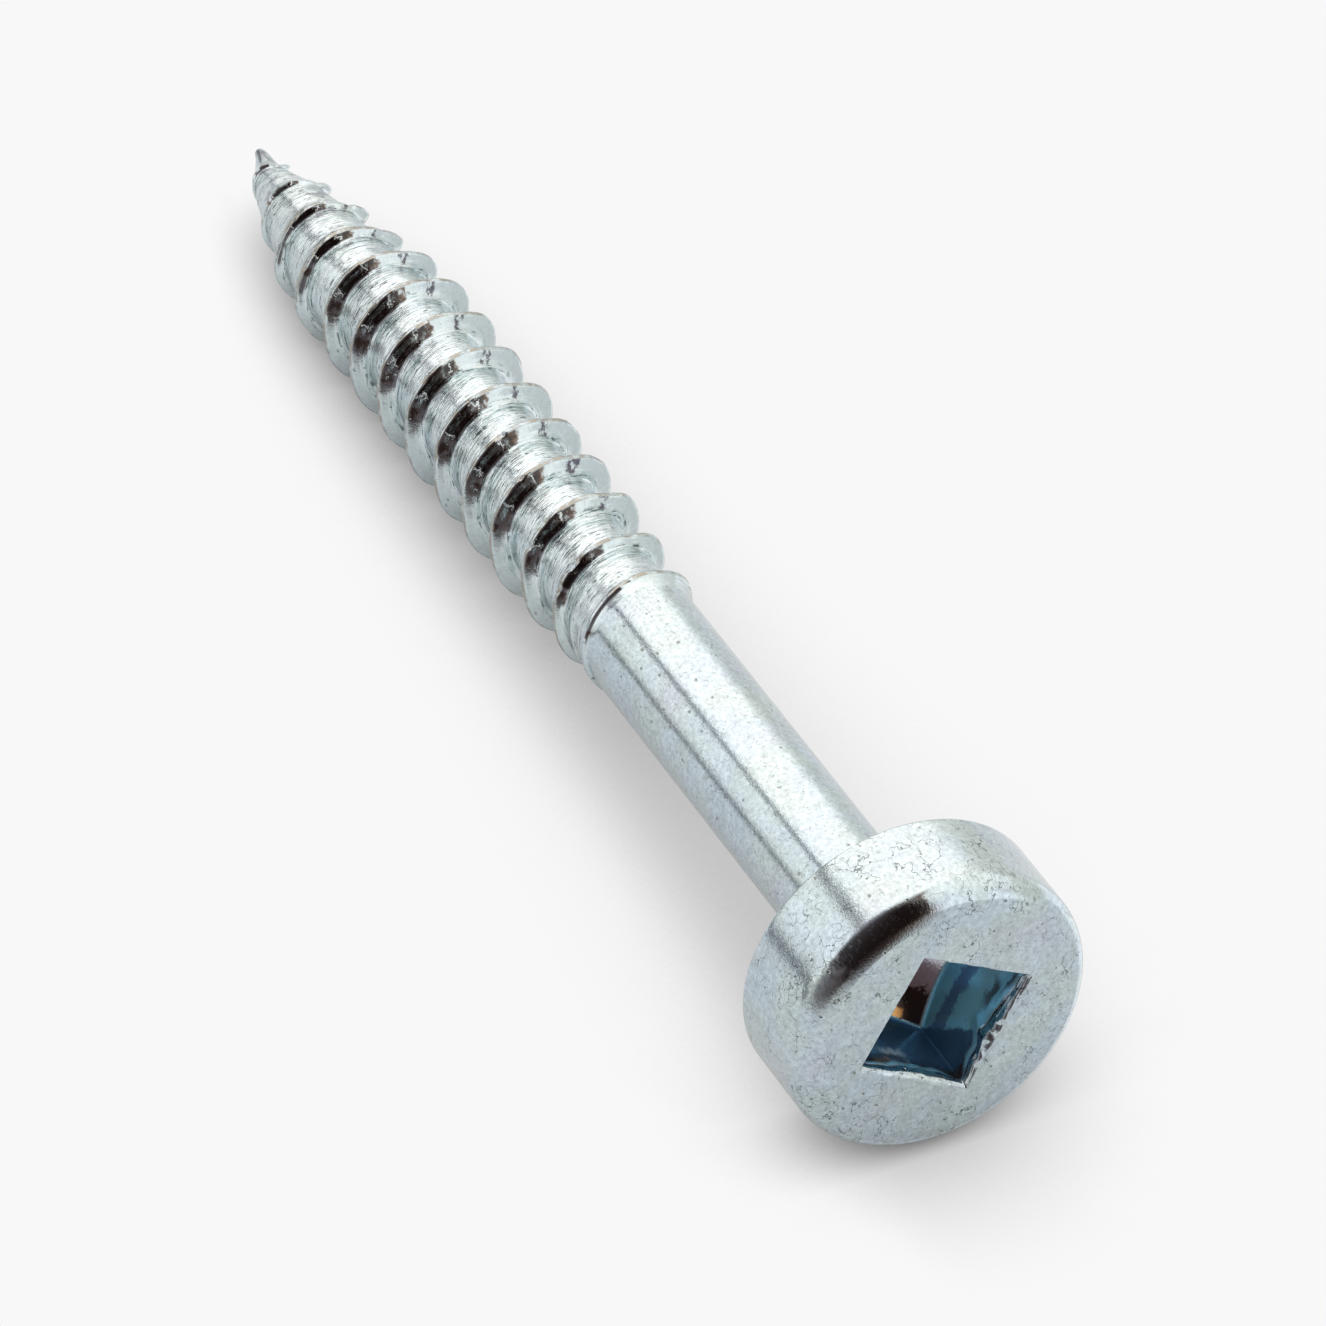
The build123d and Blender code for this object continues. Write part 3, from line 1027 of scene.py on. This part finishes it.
def sheet_material():
    """A white sheet that gives its own light, shaded by how closed in each spot is."""
    material, n = new_material("white_sheet")
    open_share = n.node("ShaderNodeAmbientOcclusion", {"Distance": SHADE_REACH * MM}, samples=16)
    mirrored = n.node("ShaderNodeLightPath").outputs["Is Glossy Ray"]
    spot = n.node("ShaderNodeNewGeometry").outputs
    across = n.split(spot["Position"])[1]
    seen = n.step(across, SHEET_EDGE[0] * MM, SHEET_EDGE[1] * MM, *SHEET_EXPOSURE)
    onward = n.vector("MULTIPLY", spot["Incoming"], (-1, -1, -1))
    azimuth, elevation = sky_angles(n, onward)
    glow = n.math("MULTIPLY", n.step(azimuth, *GLOW_RISES), n.step(azimuth, *GLOW_FALLS, 1.0, 0.0))
    glow = n.math("MULTIPLY_ADD", glow, 0.4, 1.0)
    exposure = n.node("ShaderNodeMix", {0: mirrored, 2: seen, 3: glow}).outputs[0]
    light = n.math("MULTIPLY", open_share.outputs["AO"], exposure)
    light = n.math("MINIMUM", light, n.math("MULTIPLY_ADD", mirrored, 0.5, 1.0))
    light = n.grey(n.math("MULTIPLY", light, SHEET_LIGHT))
    # In the metal's mirror images the sheet is painted dark where the opening round the camera lies:
    # a painted dark reflection
    opening, gloom = camera_opening(n, azimuth, elevation)
    light = n.mix(n.math("MULTIPLY", mirrored, opening), light, gloom)
    shader = n.node("ShaderNodeEmission", {"Color": light, "Strength": 1.0})
    n.node("ShaderNodeOutputMaterial", {"Surface": shader.outputs[0]})
    return material


def make_floor(shape):
    """A round sheet that touches the head's rim and the thread, as the screw rests on both."""
    threaded = shape[shape[:, 0] < SHANK_END]
    slope = np.min((threaded[:, 2] + HEAD_RADIUS) / -threaded[:, 0])
    spots = [(0.0, 0.0)]
    for ring in range(1, SHEET_RINGS + 1):
        r = SHEET_REACH * ring / SHEET_RINGS
        for spoke in range(SHEET_SPOKES):
            turn = 2 * pi * spoke / SHEET_SPOKES
            spots.append((r * cos(turn), r * sin(turn)))
    points = [(x * MM, y * MM, (-HEAD_RADIUS - slope * x) * MM) for x, y in spots]
    faces = []
    for spoke in range(SHEET_SPOKES):
        a = 1 + spoke
        b = 1 + (spoke + 1) % SHEET_SPOKES
        faces.append((0, a, b))
        for inner in range(0, (SHEET_RINGS - 1) * SHEET_SPOKES, SHEET_SPOKES):
            outer = inner + SHEET_SPOKES
            faces.append((a + inner, a + outer, b + outer, b + inner))
    mesh = bpy.data.meshes.new("floor")
    mesh.from_pydata(points, [], faces)
    mesh.materials.append(sheet_material())
    floor = bpy.data.objects.new("floor", mesh)
    bpy.context.scene.collection.objects.link(floor)


def make_camera():
    """The camera at the photograph's angle, far off with a long lens."""
    data = bpy.data.cameras.new("camera")
    data.sensor_width = SENSOR_WIDTH
    data.lens = LENS
    data.clip_start = 0.01
    data.clip_end = 10.0
    camera = bpy.data.objects.new("camera", data)
    back = toward(CAMERA_AZIMUTH, CAMERA_ELEVATION)
    camera.location = (Vector(CAMERA_TARGET) + back * CAMERA_DISTANCE) * MM
    camera.rotation_euler = back.to_track_quat("Z", "Y").to_euler()
    bpy.context.scene.collection.objects.link(camera)
    bpy.context.scene.camera = camera


screw, shape = make_screw()
screw.data.materials.append(zinc_material())
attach(screw, "root")
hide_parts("screw")
make_floor(shape)
studio_world()
make_camera()
bpy.context.scene.view_settings.view_transform = "Standard"
